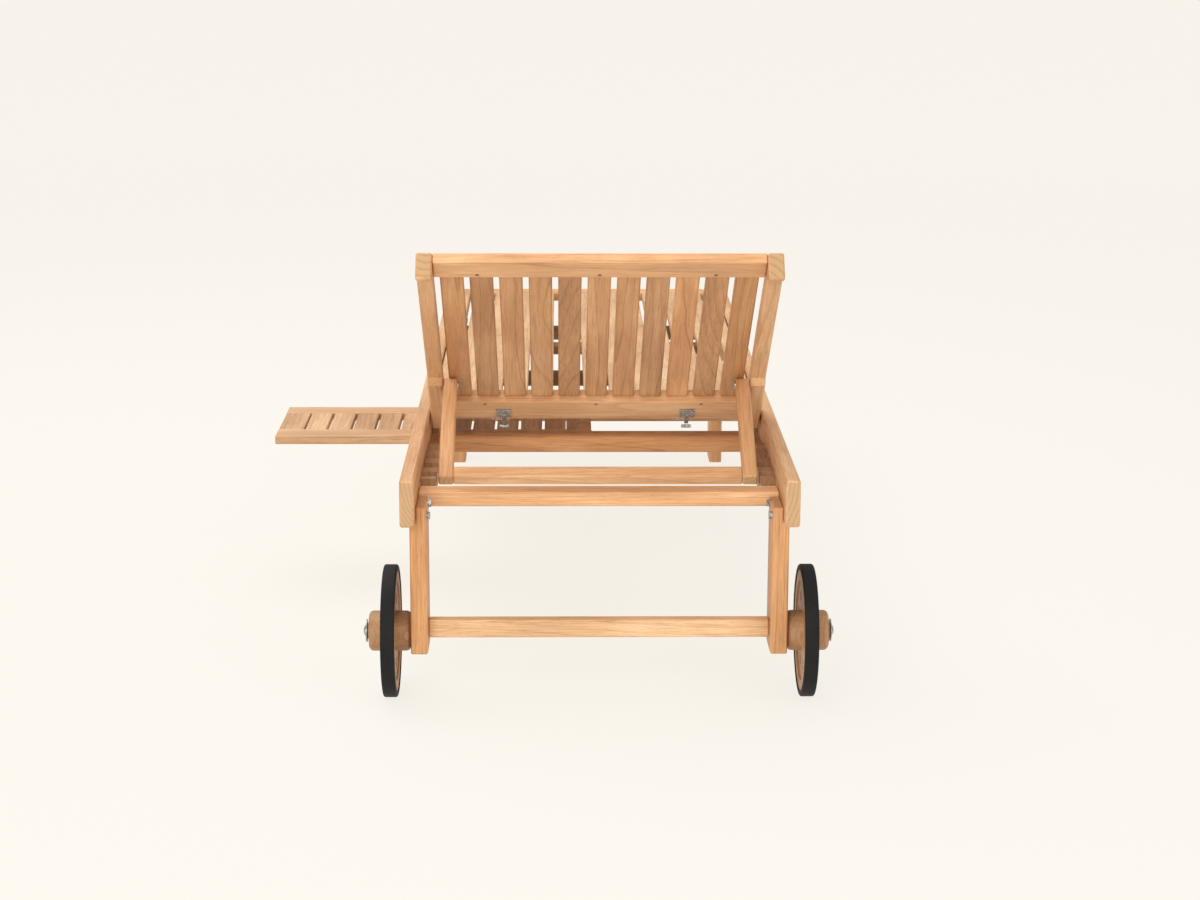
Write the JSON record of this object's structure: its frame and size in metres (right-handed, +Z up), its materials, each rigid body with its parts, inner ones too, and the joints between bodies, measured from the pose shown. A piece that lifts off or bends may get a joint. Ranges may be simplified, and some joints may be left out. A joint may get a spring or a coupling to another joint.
{
  "type": "reclining sun lounger",
  "caption": "Wheeled wooden sun lounger with a slatted seat, a hinged slatted backrest held by a folding prop, and a slatted side tray that slides out from under the seat.",
  "frame": {"origin": "on the ground, under the middle of the whole lounger with its tray pulled out", "axes": "+Y from the head end to the foot end, +X to the sitter's right, +Z up; the tray comes out towards -X"},
  "size_m": [0.9966, 1.9176, 0.7437],
  "materials": {
    "teak": "bare sanded teak, satin",
    "black_rubber": "matt black rubber",
    "grey_steel": "dull grey steel"
  },
  "bodies": {
    "frame": {"side_rail_left": "teak", "side_rail_right": "teak", "head_leg_left": "teak", "head_leg_right": "teak", "foot_leg_left": "teak", "foot_leg_right": "teak", "head_stretcher": "teak", "head_crossrail": "teak", "middle_crossrail": "teak", "seat_crossrail": "teak", "foot_crossrail": "teak", "support_board_left": "teak", "support_board_right": "teak", "seat_head_rail": "teak", "seat_foot_rail": "teak", "seat_stile_left": "teak", "seat_stile_right": "teak", "seat_slat_01": "teak", "seat_slat_02": "teak", "seat_slat_03": "teak", "seat_slat_04": "teak", "seat_slat_05": "teak", "seat_slat_06": "teak", "seat_slat_07": "teak", "seat_slat_08": "teak", "seat_slat_09": "teak", "seat_slat_10": "teak", "seat_slat_11": "teak", "seat_bearer": "teak", "hinge_seat_leaf_left": "grey_steel", "hinge_seat_leaf_right": "grey_steel", "tray_runner_head": "teak", "tray_runner_foot": "teak", "axle_left": "grey_steel", "axle_right": "grey_steel"},
    "backrest": {"backrest_stile_left": "teak", "backrest_stile_right": "teak", "backrest_top_rail": "teak", "backrest_bottom_rail": "teak", "backrest_slat_01": "teak", "backrest_slat_02": "teak", "backrest_slat_03": "teak", "backrest_slat_04": "teak", "backrest_slat_05": "teak", "backrest_slat_06": "teak", "backrest_slat_07": "teak", "backrest_slat_08": "teak", "backrest_slat_09": "teak", "backrest_slat_10": "teak", "backrest_slat_11": "teak", "hinge_back_leaf_left": "grey_steel", "hinge_back_leaf_right": "grey_steel"},
    "prop": {"prop_arm_left": "teak", "prop_arm_right": "teak", "prop_crossbar": "teak"},
    "tray": {"side_tray": "teak"},
    "wheel_left": {"wheel_left": "teak", "tyre_left": "black_rubber"},
    "wheel_right": {"wheel_right": "teak", "tyre_right": "black_rubber"}
  },
  "joints": [
    {"name": "backrest_recline", "type": "hinge", "parent": "frame", "child": "backrest", "pos_m": [0.1057, -0.3722, 0.3535], "axis": [-1, 0, 0], "range_deg": [-37.2, 21.8]},
    {"name": "prop_fold", "type": "hinge", "parent": "backrest", "child": "prop", "pos_m": [0.1057, -0.5003, 0.457], "axis": [-1, 0, 0], "range_deg": [-39.8, 67.9]},
    {"name": "wheel_left_spin", "type": "hinge", "parent": "frame", "child": "wheel_left", "pos_m": [-0.2403, -0.8482, 0.1106], "axis": [1, 0, 0], "continuous": true},
    {"name": "wheel_right_spin", "type": "hinge", "parent": "frame", "child": "wheel_right", "pos_m": [0.4517, -0.8482, 0.1106], "axis": [1, 0, 0], "continuous": true},
    {"name": "tray_slide", "type": "slide", "parent": "frame", "child": "tray", "axis": [1, 0, 0], "range_m": [0, 0.279]}
  ],
  "couplings": [
    {"joint": "prop_fold", "follows": "backrest_recline", "ratio": -1.8226}
  ]
}
